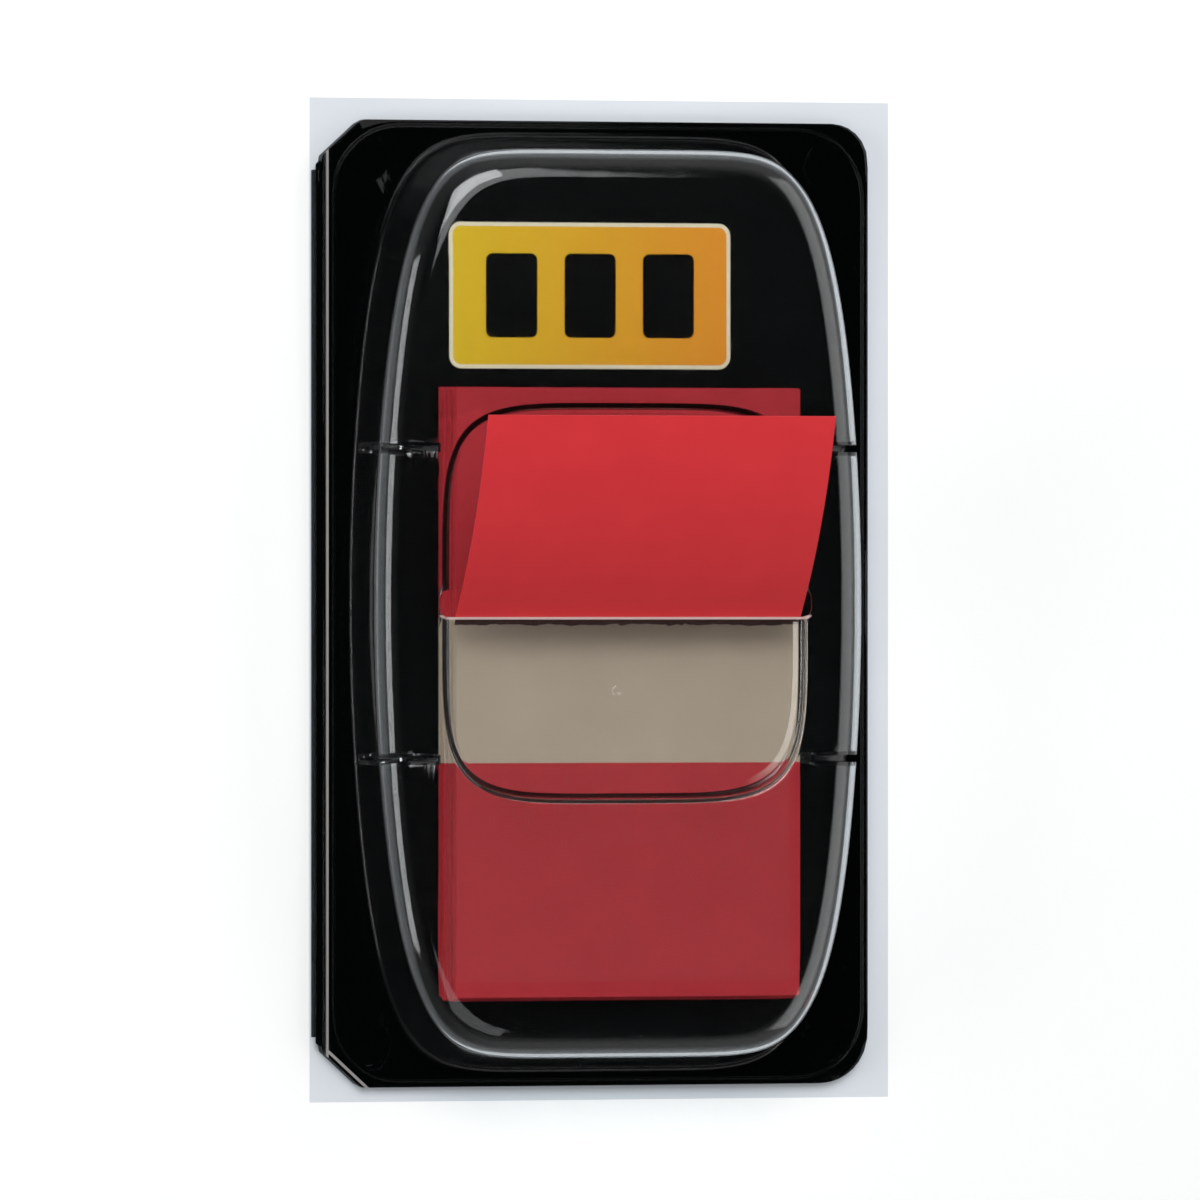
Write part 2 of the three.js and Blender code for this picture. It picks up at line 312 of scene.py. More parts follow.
guide = bubble_ring(BUBBLE_HALF, 0)
rings = [
    along_outline(leaf_corners(FOLD_CENTRE), RIM_TOP - SHEET, guide),
    along_outline(leaf_corners(FOLD_CENTRE), RIM_TOP, guide),
]
rings.append(along_outline(panel_corners(-0.1), RIM_TOP, guide))
for share in (0, 0.25, 0.5, 0.75, 1):
    rise = share * share * (3 - 2 * share)
    z = RIM_TOP + rise * (PANEL_TOP - RIM_TOP)
    rings.append(along_outline(panel_corners(0.14 * share), z, guide))
rings.append(along_outline(panel_corners(0.24), PANEL_TOP, guide))
rings.append(bubble_ring(shrunk(BUBBLE_HALF, -FOOT_RADIUS - 0.1), PANEL_TOP))
for i in range(5):
    turn = math.radians(90 * i / 4)
    inset = FOOT_RADIUS * (math.sin(turn) - 1)
    z = PANEL_TOP + FOOT_RADIUS * (1 - math.cos(turn))
    rings.append(bubble_ring(shrunk(BUBBLE_HALF, inset), z))
for i in range(13):
    turn = math.radians(90 * i / 12)
    inset = WALL_DRAFT + SHOULDER_RUN * (1 - math.cos(turn))
    z = SHOULDER_TOP - SHOULDER_RISE * (1 - math.sin(turn))
    half = shrunk(BUBBLE_HALF, inset)
    rings.append(bubble_ring((half[0], half[1] - END_DRAFT * math.cos(turn)), z))
land = rings[-1]
STEP_START, STEP_END = -0.05, 0.7
STEP_TURN = 2 * math.atan(WINDOW_DEPTH / (STEP_END - STEP_START))
bend = (STEP_END - STEP_START) / 2 / math.sin(STEP_TURN)
step = []
for i in range(6):
    turn = STEP_TURN * i / 5
    step.append((STEP_START + bend * math.sin(turn), bend * (1 - math.cos(turn)) / WINDOW_DEPTH))
step += [(STEP_START + STEP_END - inset, 1 - fall) for inset, fall in reversed(step[:-1])]
edge = superellipse(shrunk(WINDOW_HALF, STEP_START), WINDOW_POWER, crowned)
for share in (0.12, 0.3, 0.5, 0.7, 0.88):
    between = [
        (a[0] + share * (b[0] - a[0]), a[1] + share * (b[1] - a[1])) for a, b in zip(land, edge)
    ]
    rings.append([(x, y, crowned(x, y)) for x, y in between])
for inset, fall in step:
    rings.append(
        superellipse(
            shrunk(WINDOW_HALF, inset),
            WINDOW_POWER,
            lambda x, y, fall=fall: crowned(x, y) + fall * (WINDOW_FLOOR - crowned(x, y)),
        )
    )
print("the front leaf has", len(rings), "rings")

# %% [markdown]
# The rings become a closed block first, because cutting works best on closed shapes. The block is
# filled at the bottom and across the window.

# %% The block that the sheet is blown over
case = grow_rings("clear_shell", rings)
bpy.ops.object.select_all(action="DESELECT")
bpy.context.view_layer.objects.active = case
case.select_set(True)
bpy.ops.object.mode_set(mode="EDIT")
bpy.ops.mesh.select_all(action="DESELECT")
bpy.ops.object.mode_set(mode="OBJECT")
for vertex in case.data.vertices:
    vertex.select = abs(vertex.co.z - mm(WINDOW_FLOOR)) < 1e-7
bpy.ops.object.mode_set(mode="EDIT")
bpy.ops.mesh.select_mode(type="VERT")
bpy.ops.mesh.edge_face_add()
bpy.ops.mesh.select_all(action="SELECT")
bpy.ops.mesh.normals_make_consistent(inside=False)
bpy.ops.object.mode_set(mode="OBJECT")
print("the block has", len(case.data.polygons), "faces")

# %% [markdown]
# ## Ribs and sealed spots
# A rib is where the mould pushes a thin wedge into the side of the bubble, and a sealed spot is where
# a round die presses the sheet down on the card. Each is cut out of the block with a solid tool.


# %% Tools that press into the sheet
def cut(piece, tool):
    """Take the tool's shape out of the piece, and delete the tool."""
    bpy.ops.object.select_all(action="DESELECT")
    bpy.context.view_layer.objects.active = piece
    piece.select_set(True)
    change = piece.modifiers.new("cut", "BOOLEAN")
    change.operation = "DIFFERENCE"
    change.solver = "EXACT"
    change.object = tool
    bpy.ops.object.modifier_apply(modifier=change.name)
    bpy.data.objects.remove(tool)


def bevelled(piece, width, segments=2, angle=40):
    """Round the sharp edges of a piece."""
    bpy.ops.object.select_all(action="DESELECT")
    bpy.context.view_layer.objects.active = piece
    piece.select_set(True)
    change = piece.modifiers.new("rounding", "BEVEL")
    change.width = mm(width)
    change.segments = segments
    change.limit_method = "ANGLE"
    change.angle_limit = math.radians(angle)
    bpy.ops.object.modifier_apply(modifier=change.name)


def close_ends():
    """Fill the open end of the tool that was just made."""
    bpy.ops.object.mode_set(mode="EDIT")
    bpy.ops.mesh.select_all(action="SELECT")
    bpy.ops.mesh.fill_holes(sides=0)
    bpy.ops.mesh.normals_make_consistent(inside=False)
    bpy.ops.object.mode_set(mode="OBJECT")


def rib_tool(side, y):
    """A wedge that reaches in from the bubble's long side, deepest at the top."""
    outside = BUBBLE_HALF[0] + 1.0
    low_tip = STACK_PLACE[0] + TAB_WIDTH / 2 + 0.8
    half_widths = (0.18, 0.34) if side > 0 else (0.1, 0.2)
    wedge = []
    for z, tip, ratio in (
        (PANEL_TOP + 0.6, low_tip, 0.5),
        (STACK_TOP + 0.3, low_tip, 0.75),
        (SHOULDER_TOP + CROWN + 0.5, RIB_TOP_TIP, 1.0),
    ):
        near, far = (half * ratio for half in half_widths)
        wedge.append(
            [
                (side * tip, y - side * near, z),
                (side * outside, y - side * far, z),
                (side * outside, y + side * far, z),
                (side * tip, y + side * near, z),
            ]
        )
    tool = grow_rings("rib_tool", wedge)
    close_ends()
    return tool


for side in (-1, 1):
    for y in (-RIB_PLACE, RIB_PLACE):
        cut(case, rib_tool(side, y))
for x in (-1, 1):
    for y in (-1, 1):
        bpy.ops.object.select_all(action="DESELECT")
        bpy.ops.mesh.primitive_cylinder_add(
            vertices=48,
            radius=mm(SEAL_RADIUS),
            depth=mm(1.0),
            location=(mm(x * SEAL_PLACE[0]), mm(y * SEAL_PLACE[1]), mm(RIM_TOP + 0.5)),
        )
        bpy.ops.object.transform_apply(location=True, rotation=True, scale=True)
        cut(case, bpy.context.object)
print("after the tools the block has", len(case.data.polygons), "faces")

# %% [markdown]
# ## The fold and the back leaf
# The underside of the block is thrown away, so that a skin is left. Its left edge is spun half a turn
# round the fold, as the real sheet is bent, and the back leaf is filled in flat.

# %% Open the block, fold the skin and close the back
bpy.ops.object.select_all(action="DESELECT")
bpy.context.view_layer.objects.active = case
case.select_set(True)
skin = bmesh.new()
skin.from_mesh(case.data)
under = [f for f in skin.faces if all(v.co.z < mm(RIM_TOP) + 1e-7 for v in f.verts)]
under = [f for f in under if any(v.co.z < mm(RIM_TOP) - 1e-6 for v in f.verts)]
bmesh.ops.delete(skin, geom=under, context="FACES")
for element in (*skin.verts, *skin.edges, *skin.faces):
    element.select_set(False)
fold_line = mm(FOLD_CENTRE) + 1e-7
for e in skin.edges:
    if e.is_boundary and all(v.co.x < fold_line for v in e.verts):
        e.select_set(True)
skin.to_mesh(case.data)
skin.free()
bpy.ops.object.mode_set(mode="EDIT")
bpy.ops.mesh.select_mode(type="EDGE")
bpy.ops.mesh.spin(
    steps=8,
    angle=math.pi,
    center=(mm(FOLD_CENTRE), 0, mm(RIM_TOP / 2)),
    axis=(0, 1, 0),
)
bpy.ops.object.mode_set(mode="OBJECT")
print("lowest point after the fold", min(v.co.z for v in case.data.vertices))

# %% Close the back leaf and give the sheet its thickness
leaf = [(x, y) for x, y, _ in rings[1]]
skin = bmesh.new()
skin.from_mesh(case.data)
back = skin.faces.new([skin.verts.new((mm(x), mm(y), 0.0)) for x, y in leaf])
if back.normal.z > 0:
    back.normal_flip()
bmesh.ops.remove_doubles(skin, verts=skin.verts, dist=1e-6)
bmesh.ops.recalc_face_normals(skin, faces=skin.faces)
print("open edges", sum(e.is_boundary for e in skin.edges))
skin.to_mesh(case.data)
skin.free()
bpy.context.view_layer.objects.active = case
case.select_set(True)
wall = case.modifiers.new("sheet", "SOLIDIFY")
wall.thickness = mm(SHEET)
wall.offset = -1
wall.use_even_offset = True
bpy.ops.object.modifier_apply(modifier=wall.name)
low = min(v.co.z for v in case.data.vertices)
print("the sheet's lowest point is", round(low * 1000, 3), "mm")

# %% [markdown]
# The slot goes through the finished wall, and a shallow crease runs down beside the fold. A fine bevel
# takes the hard look off every cut edge.

# %% Cut the slot and the crease, and soften the edges
slot_ring = []
for cx, cy, start in ((1, 1, 0), (-1, 1, 90), (-1, -1, 180), (1, -1, 270)):
    middle = (cx * (SLOT_HALF[0] - SLOT_CORNER), cy * (SLOT_HALF[1] - SLOT_CORNER))
    slot_ring += arc(*middle, SLOT_CORNER, start, 6)
slot_tool = grow_rings(
    "slot_tool", [[(x, y, z) for x, y in slot_ring] for z in (WINDOW_FLOOR - 0.6, SHOULDER_TOP + 1)]
)
close_ends()
cut(case, slot_tool)
notch = [(-0.36, 0.12), (0, -0.12), (0.36, 0.12)]
crease_tool = grow_rings(
    "crease_tool",
    [
        [(CREASE + across, y, RIM_TOP + up) for across, up in notch]
        for y in (-LEAF_TOP - 1, LEAF_TOP + 1)
    ],
)
close_ends()
cut(case, crease_tool)
bpy.ops.object.select_all(action="DESELECT")
bpy.ops.mesh.primitive_uv_sphere_add(
    segments=32,
    ring_count=16,
    radius=mm(1.0),
    location=(mm(DIMPLE_PLACE[0]), mm(DIMPLE_PLACE[1]), mm(WINDOW_FLOOR + 0.92)),
)
bpy.ops.object.transform_apply(location=True, rotation=True, scale=True)
cut(case, bpy.context.object)
bevelled(case, 0.06)
bpy.ops.object.shade_smooth_by_angle(angle=math.radians(35))
even = case.modifiers.new("even_shading", "WEIGHTED_NORMAL")
even.keep_sharp = True
bpy.ops.object.modifier_apply(modifier=even.name)
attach(case, "root")
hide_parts("clear_case")
print("the shell has", len(case.data.polygons), "faces")

# %% [markdown]
# ## The card
# The card lies between the leaves and reaches into the fold, where its edge is rounded.

# %% The backing card
board_left = FOLD_EDGE + 0.32
outline = leaf_corners(board_left, 0.15)
board = grow_rings("backing_board", [[(x, y, z) for x, y in outline] for z in (0.31, 0.69)])
close_ends()
bpy.ops.object.mode_set(mode="EDIT")
bpy.ops.mesh.select_mode(type="EDGE")
bpy.ops.mesh.select_all(action="DESELECT")
sheet = bmesh.from_edit_mesh(board.data)
for e in sheet.edges:
    ends = [v.co for v in e.verts]
    if all(abs(c.x - mm(board_left)) < 1e-7 for c in ends) and abs(ends[0].z - ends[1].z) < 1e-7:
        e.select_set(True)
bmesh.update_edit_mesh(board.data)
bpy.ops.mesh.bevel(offset=mm(0.18), segments=5)
bpy.ops.object.mode_set(mode="OBJECT")
bpy.ops.object.shade_smooth_by_angle(angle=math.radians(35))
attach(board, "root")
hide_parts("backing_card")
print("the card has", len(board.data.polygons), "faces")

# %% [markdown]
# ## The stack
# The stack is many thin tabs, squared by hand, so each bundle strays a little from the next. One thin
# slab is made for each layer. A small wave nudges it, rather than chance, and the lowest slabs lie a
# little further left.

# %% The stack of tabs
LAYERS = 32
STACK_LEAN = 0.5
layer_height = (STACK_TOP - CARD_TOP) / LAYERS
slabs = []
for i in range(LAYERS):
    bpy.ops.object.select_all(action="DESELECT")
    lean = STACK_LEAN * (1 - (i + 1) / LAYERS)
    x = STACK_PLACE[0] - lean + 0.12 * math.sin(2.4 * (i // 4)) + 0.05 * math.sin(5.1 * i)
    y = STACK_PLACE[1] + 0.12 * math.cos(1.9 * (i // 4)) + 0.05 * math.cos(3.7 * i)
    z = CARD_TOP + layer_height * (i + 0.5)
    bpy.ops.mesh.primitive_cube_add(size=1, location=(mm(x), mm(y), mm(z)))
    slab = bpy.context.object
    slab.scale = (mm(TAB_WIDTH), mm(TAB_LENGTH), mm(layer_height * 0.96))
    bpy.ops.object.transform_apply(location=True, rotation=True, scale=True)
    slabs.append(slab)
bpy.ops.object.select_all(action="DESELECT")
for slab in slabs:
    slab.select_set(True)
stack = slabs[0]
bpy.context.view_layer.objects.active = stack
bpy.ops.object.join()
stack.name = "film_stack"
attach(stack, "root")
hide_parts("tab_stack")
print("the stack has", LAYERS, "layers")

# %% [markdown]
# ## The leading tab
# One tab lies on the stack, bends up to the slot and leans back outside it. Its path is two arcs, and
# the film is an edge that is extruded along them and then given its thickness.

# %% The path of the leading tab
exit_angle, end_angle = math.radians(43), math.radians(19)
PULLED_OUT = 15.9
FILM = 0.1
level = STACK_TOP + FILM / 2
slot_level = WINDOW_FLOOR - SHEET / 2
exit_y = SLOT_HALF[1] - (SHOULDER_TOP + CROWN + 0.15 - slot_level) / math.tan(exit_angle)
bend = (slot_level - level) / (1 - math.cos(exit_angle))
lift_off = exit_y - bend * math.sin(exit_angle)
lower_end = lift_off - (TAB_LENGTH - PULLED_OUT - bend * exit_angle)
lean = PULLED_OUT / (exit_angle - end_angle)
path = [(lower_end + (lift_off - lower_end) * i / 6, level) for i in range(6)]
for i in range(17):
    turn = exit_angle * i / 16
    path.append((lift_off + bend * math.sin(turn), level + bend * (1 - math.cos(turn))))
for i in range(1, 25):
    turn = exit_angle - (exit_angle - end_angle) * i / 24
    path.append(
        (
            exit_y + lean * (math.sin(exit_angle) - math.sin(turn)),
            slot_level + lean * (math.cos(turn) - math.cos(exit_angle)),
        )
    )
print("the free end stands at", [round(v, 2) for v in path[-1]])

# %% The leading tab
bpy.ops.object.select_all(action="DESELECT")
bpy.ops.mesh.primitive_plane_add(size=1)
leading = bpy.context.object
leading.name = "standing_tab"
half_width = TAB_WIDTH / 2
for vertex in leading.data.vertices:
    x = LEADING_X + math.copysign(half_width, vertex.co.x)
    y, z = path[0] if vertex.co.y < 0 else path[1]
    vertex.co = (mm(x), mm(y), mm(z))
bpy.ops.object.mode_set(mode="EDIT")
bpy.ops.mesh.select_mode(type="EDGE")
bpy.ops.mesh.select_all(action="DESELECT")
film = bmesh.from_edit_mesh(leading.data)
for e in film.edges:
    if all(abs(v.co.y - mm(path[1][0])) < 1e-7 for v in e.verts):
        e.select_set(True)
bmesh.update_edit_mesh(leading.data)
for (y0, z0), (y1, z1) in zip(path[1:], path[2:]):
    bpy.ops.mesh.extrude_edges_move(
        TRANSFORM_OT_translate={"value": (0, mm(y1 - y0), mm(z1 - z0))}
    )
bpy.ops.mesh.select_all(action="SELECT")
bpy.ops.mesh.normals_make_consistent(inside=False)
bpy.ops.object.mode_set(mode="OBJECT")
thickness = leading.modifiers.new("film", "SOLIDIFY")
thickness.thickness = mm(FILM * 0.9)
thickness.offset = 0
thickness.use_even_offset = True
bpy.ops.object.modifier_apply(modifier=thickness.name)
bpy.ops.object.shade_smooth_by_angle(angle=math.radians(30))
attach(leading, "root")
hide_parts("leading_tab")
print("the leading tab has", len(leading.data.polygons), "faces")

# %% [markdown]
# ## Clear thermoformed PET
# PET is a hard, glossy plastic with an IOR of about 1.57. A blown sheet keeps faint waves from the
# mould and gathers fine scuffs. Lamps must light what lies behind it, so for shadow rays it is nearly
# fully see-through.

# %% Clear PET for the case
pet, tree, output = new_material("thermoformed_clear_pet")
place = tree.nodes.new("ShaderNodeTexCoord").outputs["Object"]
waves = node(tree, "ShaderNodeTexNoise", Vector=place, Scale=180.0, Detail=2.0)
scuffs = node(tree, "ShaderNodeTexNoise", Vector=place, Scale=1400.0, Detail=2.0)
scuffing = node(
    tree, "ShaderNodeMapRange", Value=scuffs.outputs[0], From_Min=0.45, From_Max=0.75
)
scuffing.inputs["To Min"].default_value = 0.04
scuffing.inputs["To Max"].default_value = 0.08
relief = node(tree, "ShaderNodeBump", Height=waves.outputs[0], Strength=0.05, Distance=mm(0.25))
glassy = node(
    tree,
    "ShaderNodeBsdfPrincipled",
    Base_Color=linear("F4F7F8"),
    Roughness=scuffing.outputs[0],
    IOR=1.57,
    Transmission_Weight=1.0,
    Normal=relief.outputs[0],
)
print("clear plastic ready")

# %% [markdown]
# Painted shade and painted highlights are mixed into the plastic: painted shade on the flat flange,
# round the window and on the ribs, and painted highlights on the window's right side and the slot's near
# lip.
# Pale lines also run along the crease and the slanting cut. Each such place is worked out from the
# piece's own coordinates, and a share of a matte colour is mixed in there.


# %% Tools that tint a part of the plastic
x, y, z = node(tree, "ShaderNodeSeparateXYZ", Vector=place).outputs


def all_of(*conditions):
    """1 where each condition is 1."""
    result = conditions[0]
    for condition in conditions[1:]:
        result = arithmetic(tree, "MULTIPLY", result, condition)
    return result


def more_than(value, limit):
    """1 where a value is more than a limit in millimetres."""
    return arithmetic(tree, "GREATER_THAN", value, mm(limit))


def near_to(value, middle, reach):
    """1 where a value lies within a reach of a middle one."""
    away = arithmetic(tree, "ABSOLUTE", arithmetic(tree, "SUBTRACT", value, middle))
    return arithmetic(tree, "LESS_THAN", away, reach)


def fading(value, start, end):
    """A share that grows from 0 to 1 between two places in millimetres."""
    return node(tree, "ShaderNodeMapRange", Value=value, From_Min=mm(start), From_Max=mm(end)).outputs[0]


def tinted(place_of_tint, share, colour, below):
    """The shader below, with a share of a matte colour mixed in at one place."""
    factor = arithmetic(tree, "MULTIPLY", place_of_tint, share)
    matte = node(tree, "ShaderNodeBsdfDiffuse", Color=linear(colour))
    return node(tree, "ShaderNodeMixShader", _0=factor, _1=below.outputs[0], _2=matte.outputs[0])


print("tint tools ready")

# %% The flange, with painted shade
# Painted shade: a share of near-black over the flange, the fold and the sealed spots hides what they
# mirror.
flange_painted_shade = arithmetic(tree, "LESS_THAN", z, mm(PANEL_TOP + 0.05))
glassy = tinted(flange_painted_shade, 0.7, "020303", glassy)
print("the flange is dark")

# %% [markdown]
# The soft step round the window gets a painted dark line of shade on the left, the top and the bottom,
# and a painted pale highlight on the right. Both follow one superellipse. They fade into each other on
# the right.

# %% The window's outline, as painted shade and a painted highlight
LINE_CENTRE, LINE_HALF = (-0.08, 0.2), (13.17, 13.8)
powers = []
for axis, middle, half in zip((x, y), LINE_CENTRE, LINE_HALF):
    away = arithmetic(tree, "ABSOLUTE", arithmetic(tree, "SUBTRACT", axis, mm(middle)))
    share = arithmetic(tree, "DIVIDE", away, mm(half))
    powers.append(arithmetic(tree, "POWER", share, WINDOW_POWER))
reach = arithmetic(tree, "POWER", arithmetic(tree, "ADD", *powers), 1 / WINDOW_POWER)
on_top = more_than(z, WINDOW_FLOOR - 0.5)
on_right = fading(x, 9.0, 12.4)
off_right = arithmetic(tree, "SUBTRACT", 1.0, on_right)
above_corner = fading(y, -13.4, -11.5)
below_slot = arithmetic(tree, "LESS_THAN", y, mm(-1.3))
window_painted_shade = all_of(near_to(reach, 1.0, 0.013), off_right, on_top)
window_painted_highlight = all_of(near_to(reach, 0.972, 0.014), on_right, above_corner, below_slot, on_top)
# Painted shade on the left, top and bottom of the step, and a painted highlight on its right side.
glassy = tinted(window_painted_shade, 0.78, "150C0C", glassy)
glassy = tinted(window_painted_highlight, 0.26, "D8CFC4", glassy)
print("the window has its outline")

# %% Painted highlight on the slot's near lip, and painted shade on the ribs on the shoulder
from_slot = rounded_area(tree, x, y, (0.0, 0.0), SLOT_HALF, SLOT_CORNER)
lip_painted_highlight = arithmetic(tree, "LESS_THAN", from_slot, mm(0.18))
on_near_side = arithmetic(tree, "LESS_THAN", y, mm(-0.84))
# A pale pink painted highlight along the slot's near lip.
glassy = tinted(all_of(lip_painted_highlight, on_near_side, on_top), 0.42, "D6B9B6", glassy)
up_or_down = arithmetic(tree, "ABSOLUTE", y)
aside = arithmetic(tree, "ABSOLUTE", x)
rib_painted_shade = near_to(up_or_down, mm(RIB_PLACE), mm(0.27))
rib_painted_shade = all_of(rib_painted_shade, more_than(aside, RIB_TOP_TIP + 0.05), more_than(z, 5.6))
# Painted shade: a dark matte share on the ribs where they cross the shoulder.
glassy = tinted(rib_painted_shade, 0.5, "0A0B0B", glassy)
print("lip and ribs tinted")

# %% [markdown]
# The crease runs straight down beside the fold. At the bottom left a second pale line follows the
# slanting cut, so the distance from that cut is worked out too.

# %% The crease and the slanting cut
on_crease = near_to(x, mm(CREASE), mm(0.1))
cut_length = math.hypot(*CHAMFER)
cut_x = FOLD_EDGE + CHAMFER[0]
rightward = arithmetic(tree, "SUBTRACT", x, mm(cut_x))
right_part = arithmetic(tree, "MULTIPLY", rightward, CHAMFER[1] / cut_length)
upward = arithmetic(tree, "ADD", y, mm(LEAF_TOP))
upper_part = arithmetic(tree, "MULTIPLY", upward, CHAMFER[0] / cut_length)
from_cut = arithmetic(tree, "ADD", right_part, upper_part)
on_cut = all_of(near_to(from_cut, mm(0.3), mm(0.1)), more_than(x, CREASE))
pale = arithmetic(tree, "MAXIMUM", on_crease, on_cut)
glassy = tinted(all_of(pale, more_than(z, 0.75)), 0.42, "C9C6C4", glassy)
print("crease and cut are pale")

# %% See-through for the lamps
open_to_lamps = node(tree, "ShaderNodeBsdfTransparent", Color=linear("EEF0F1"))
shadow_ray = tree.nodes.new("ShaderNodeLightPath").outputs["Is Shadow Ray"]
mixed = node(
    tree, "ShaderNodeMixShader", _0=shadow_ray, _1=glassy.outputs[0], _2=open_to_lamps.outputs[0]
)
tree.links.new(mixed.outputs[0], output.inputs["Surface"])
case.data.materials.clear()
case.data.materials.append(pet)
print("PET is on", case.name)

# %% [markdown]
# ## Coated black card
# The card is printed solid black, with one plain amber panel that shows three upright tabs. Distances
# to a rounded rectangle are worked out with a few Math nodes, which keeps the print sharp at any size.


# %% Black card with a plain printed panel
card, tree, output = new_material("coated_black_card")
place = tree.nodes.new("ShaderNodeTexCoord").outputs["Object"]
x, y, z = node(tree, "ShaderNodeSeparateXYZ", Vector=place).outputs
PRINT_CENTRE = (-0.6, 21.9)
panel = rounded_area(tree, x, y, PRINT_CENTRE, (10.4, 5.2), 0.9)
blend_along = node(tree, "ShaderNodeMapRange", Value=x, From_Min=mm(-11), From_Max=mm(10))
amber = mixed_colour(tree, blend_along.outputs[0], linear("BA9B23"), linear("C17926"))
bars = None
for step_aside in (-5.8, 0.0, 5.8):
    middle = (PRINT_CENTRE[0] + step_aside, PRINT_CENTRE[1])
    bar = inside_of(tree, rounded_area(tree, x, y, middle, (1.9, 3.0), 0.5))
    bars = bar if bars is None else arithmetic(tree, "MAXIMUM", bars, bar)
black = linear("020303")
printed = mixed_colour(tree, bars, amber, black)
keyed = mixed_colour(tree, inside_of(tree, panel, 0.28), linear("C2B79E"), printed)
face = mixed_colour(tree, inside_of(tree, panel), black, keyed)
dust = node(tree, "ShaderNodeTexVoronoi", Vector=place, Scale=620.0)
speck = arithmetic(tree, "LESS_THAN", dust.outputs["Distance"], 0.05)
chance = node(tree, "ShaderNodeSeparateColor", Color=dust.outputs["Color"]).outputs[0]
speck = arithmetic(tree, "MULTIPLY", speck, arithmetic(tree, "GREATER_THAN", chance, 0.72))
face = mixed_colour(tree, speck, face, linear("4A5052"))
grain = node(tree, "ShaderNodeTexNoise", Vector=place, Scale=900.0, Detail=3.0)
paper = node(tree, "ShaderNodeMapRange", Value=grain.outputs[0])
paper.inputs["To Min"].default_value = 0.38
paper.inputs["To Max"].default_value = 0.6
tooth = node(tree, "ShaderNodeBump", Height=grain.outputs[0], Strength=0.15, Distance=mm(0.05))
coated = node(
    tree,
    "ShaderNodeBsdfPrincipled",
    Base_Color=face,
    Roughness=paper.outputs[0],
    Specular_IOR_Level=0.06,
    Normal=tooth.outputs[0],
)
tree.links.new(coated.outputs[0], output.inputs["Surface"])
board.data.materials.clear()
board.data.materials.append(card)
print("card is on", board.name)

# %% [markdown]
# ## Matte film
# Index tabs are thin matte polyester film, dyed at one end and clear at the sticky end. In the stack
# every second tab is turned round, so both ends look red and only the middle is milky. On the leading
# On the leading tab a dark, ragged band of painted shade lies just under the slot's lip.

# %% Film for the stack
film_stack, tree, output = new_material("stacked_polyester_film")
place = tree.nodes.new("ShaderNodeTexCoord").outputs["Object"]
x, y, z = node(tree, "ShaderNodeSeparateXYZ", Vector=place).outputs
top_red = arithmetic(tree, "GREATER_THAN", y, mm(STACK_PLACE[1] + TAB_LENGTH / 2 - TOP_RED_LENGTH))
low_red = arithmetic(tree, "LESS_THAN", y, mm(STACK_PLACE[1] - TAB_LENGTH / 2 + RED_LENGTH))
ends = arithmetic(tree, "MAXIMUM", top_red, low_red)
clouds = node(tree, "ShaderNodeTexNoise", Vector=place, Scale=220.0, Detail=3.0)
red = mixed_colour(tree, clouds.outputs[0], linear("8A2328"), linear("96282E"))
milky = mixed_colour(tree, clouds.outputs[0], linear("8D7E6E"), linear("9A8B7A"))
colour = mixed_colour(tree, ends, milky, red)
matte = node(
    tree,
    "ShaderNodeBsdfPrincipled",
    Base_Color=colour,
    Roughness=0.55,
    Specular_IOR_Level=0.1,
)
tree.links.new(matte.outputs[0], output.inputs["Surface"])
stack.data.materials.clear()
stack.data.materials.append(film_stack)
print("film is on", stack.name)

# %% Film for the leading tab
film_tab, tree, output = new_material("polyester_film_tab")
place = tree.nodes.new("ShaderNodeTexCoord").outputs["Object"]
x, y, z = node(tree, "ShaderNodeSeparateXYZ", Vector=place).outputs
rag = node(tree, "ShaderNodeTexNoise", Vector=place, Scale=1600.0, Detail=2.0)
ragged = arithmetic(tree, "MULTIPLY_ADD", rag.outputs[0], mm(0.5), y)
# A dark, ragged band of painted shade lies on the film just under the slot's lip, between its clear part
# and its red end.
red_part = arithmetic(tree, "GREATER_THAN", y, mm(-0.98))
red_end_and_painted_shade = arithmetic(tree, "GREATER_THAN", ragged, mm(-1.25))
clouds = node(tree, "ShaderNodeTexNoise", Vector=place, Scale=260.0, Detail=3.0)
red = mixed_colour(tree, clouds.outputs[0], linear("D02F35"), linear("DC363B"))
red_with_painted_shade = mixed_colour(tree, red_part, linear("2A1614"), red)
colour = mixed_colour(tree, red_end_and_painted_shade, linear("D8D2C6"), red_with_painted_shade)
cover = node(tree, "ShaderNodeMapRange", Value=red_end_and_painted_shade)
cover.inputs["To Min"].default_value = 0.005
cover.inputs["To Max"].default_value = 1.0
matte = node(
    tree,
    "ShaderNodeBsdfPrincipled",
    Base_Color=colour,
    Roughness=0.5,
    Specular_IOR_Level=0.3,
    Alpha=cover.outputs[0],
)
tree.links.new(matte.outputs[0], output.inputs["Surface"])
leading.data.materials.clear()
leading.data.materials.append(film_tab)
print("film is on", leading.name)

# %% [markdown]
# ## Floor, lamps and camera
# The pack lies on pale paper, which is a little darker in what the plastic mirrors. Five soft lamps
# stand round it. Only the right and the far one are mirrored, on the bubble's shoulders and not on its
# flat top. The camera looks down from 16 degrees to the left, through a long lens that keeps lines
# nearly parallel.

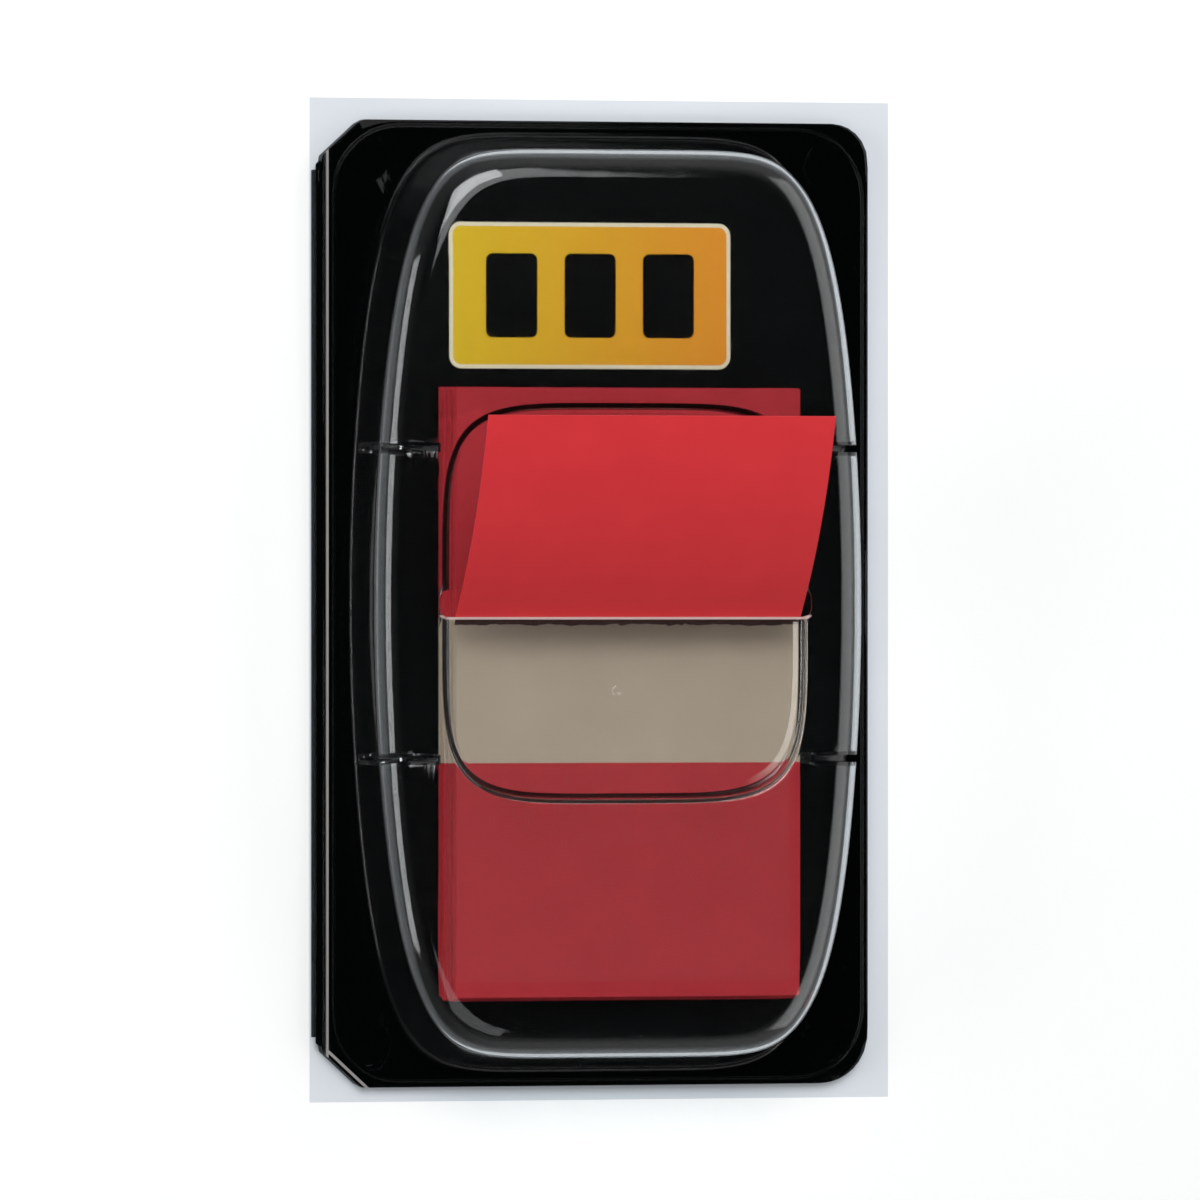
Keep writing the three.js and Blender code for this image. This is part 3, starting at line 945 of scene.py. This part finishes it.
# %% The floor
bpy.ops.object.select_all(action="DESELECT")
bpy.ops.mesh.primitive_plane_add(size=3.0, location=(0, 0, 0))
floor = bpy.context.object
floor.name = "floor"
paper_floor, tree, output = new_material("pale_paper")
place = tree.nodes.new("ShaderNodeTexCoord").outputs["Object"]
split = node(tree, "ShaderNodeSeparateXYZ", Vector=place)
sheet_area = inside_of(
    tree, rounded_area(tree, split.outputs[0], split.outputs[1], (0.39, 0.25), (21.44, 35.6), 0.05)
)
seen = tree.nodes.new("ShaderNodeLightPath").outputs["Is Camera Ray"]
around = mixed_colour(tree, seen, linear("C4C8CB"), linear("FCFDFD"))
pale = mixed_colour(tree, sheet_area, around, linear("D6DBE1"))
surface = node(tree, "ShaderNodeBsdfPrincipled", Base_Color=pale, Roughness=0.8)
tree.links.new(surface.outputs[0], output.inputs["Surface"])
floor.data.materials.append(paper_floor)
print("floor ready")

# %% Lamps and world
LAMPS = {
    "key": ((-0.12, 0.42, 0.6), (0.45, 0.35), 3.75),
    "fill": ((-0.1, -0.36, 0.66), (0.45, 0.35), 0.7),
    "side": ((-0.5, 0.0, 0.14), (0.4, 0.2), 1.4),
    "right": ((0.42, 0.0, 0.22), (0.8, 0.3), 0.8),
    "far": ((-0.024, 0.345, 0.65), (0.46, 0.42), 0.9),
}
for name, (location, size, power) in LAMPS.items():
    lamp = bpy.data.lights.new(name, "AREA")
    lamp.shape = "RECTANGLE"
    lamp.size, lamp.size_y = size
    lamp.energy = power
    stand = bpy.data.objects.new(name, lamp)
    bpy.context.scene.collection.objects.link(stand)
    stand.location = location
    stand.rotation_euler = (-Vector(location)).to_track_quat("-Z", "Y").to_euler()
    stand.visible_glossy = name in ("right", "far")
world = bpy.data.worlds.new("soft_room")
bpy.context.scene.world = world
world.use_nodes = True
background = world.node_tree.nodes["Background"]
tree = world.node_tree
toward = tree.nodes.new("ShaderNodeTexCoord").outputs["Generated"]
across, _, height = node(tree, "ShaderNodeSeparateXYZ", Vector=toward).outputs
dimming = node(tree, "ShaderNodeMapRange", Value=height, From_Min=0.45, From_Max=0.8)
dimming.inputs["To Min"].default_value = 0.34
dimming.inputs["To Max"].default_value = 0.004
leftward = node(tree, "ShaderNodeMapRange", Value=across, From_Min=-0.8, From_Max=0.2)
leftward.inputs["To Min"].default_value = 0.3
strength = arithmetic(tree, "MULTIPLY", dimming.outputs[0], leftward.outputs[0])
tree.links.new(strength, background.inputs["Strength"])
background.inputs["Color"].default_value = (1, 1, 1, 1)
print("lamps ready")

# %% Camera
TILT = math.radians(16)
DISTANCE = 1.0
FRAME_WIDTH = mm(1200 / 14.05)
camera = bpy.data.cameras.new("camera")
camera.sensor_width = 36
camera.lens = 36 * DISTANCE / FRAME_WIDTH
eye = bpy.data.objects.new("camera", camera)
bpy.context.scene.collection.objects.link(eye)
aim = Vector((mm(0.07), mm(0.25), mm(1.0)))
eye.location = aim + DISTANCE * Vector((-math.sin(TILT), 0, math.cos(TILT)))
eye.rotation_euler = (0, -TILT, 0)
bpy.context.scene.camera = eye
bpy.context.scene.view_settings.view_transform = "Standard"
print("the lens is", round(camera.lens, 1), "mm")
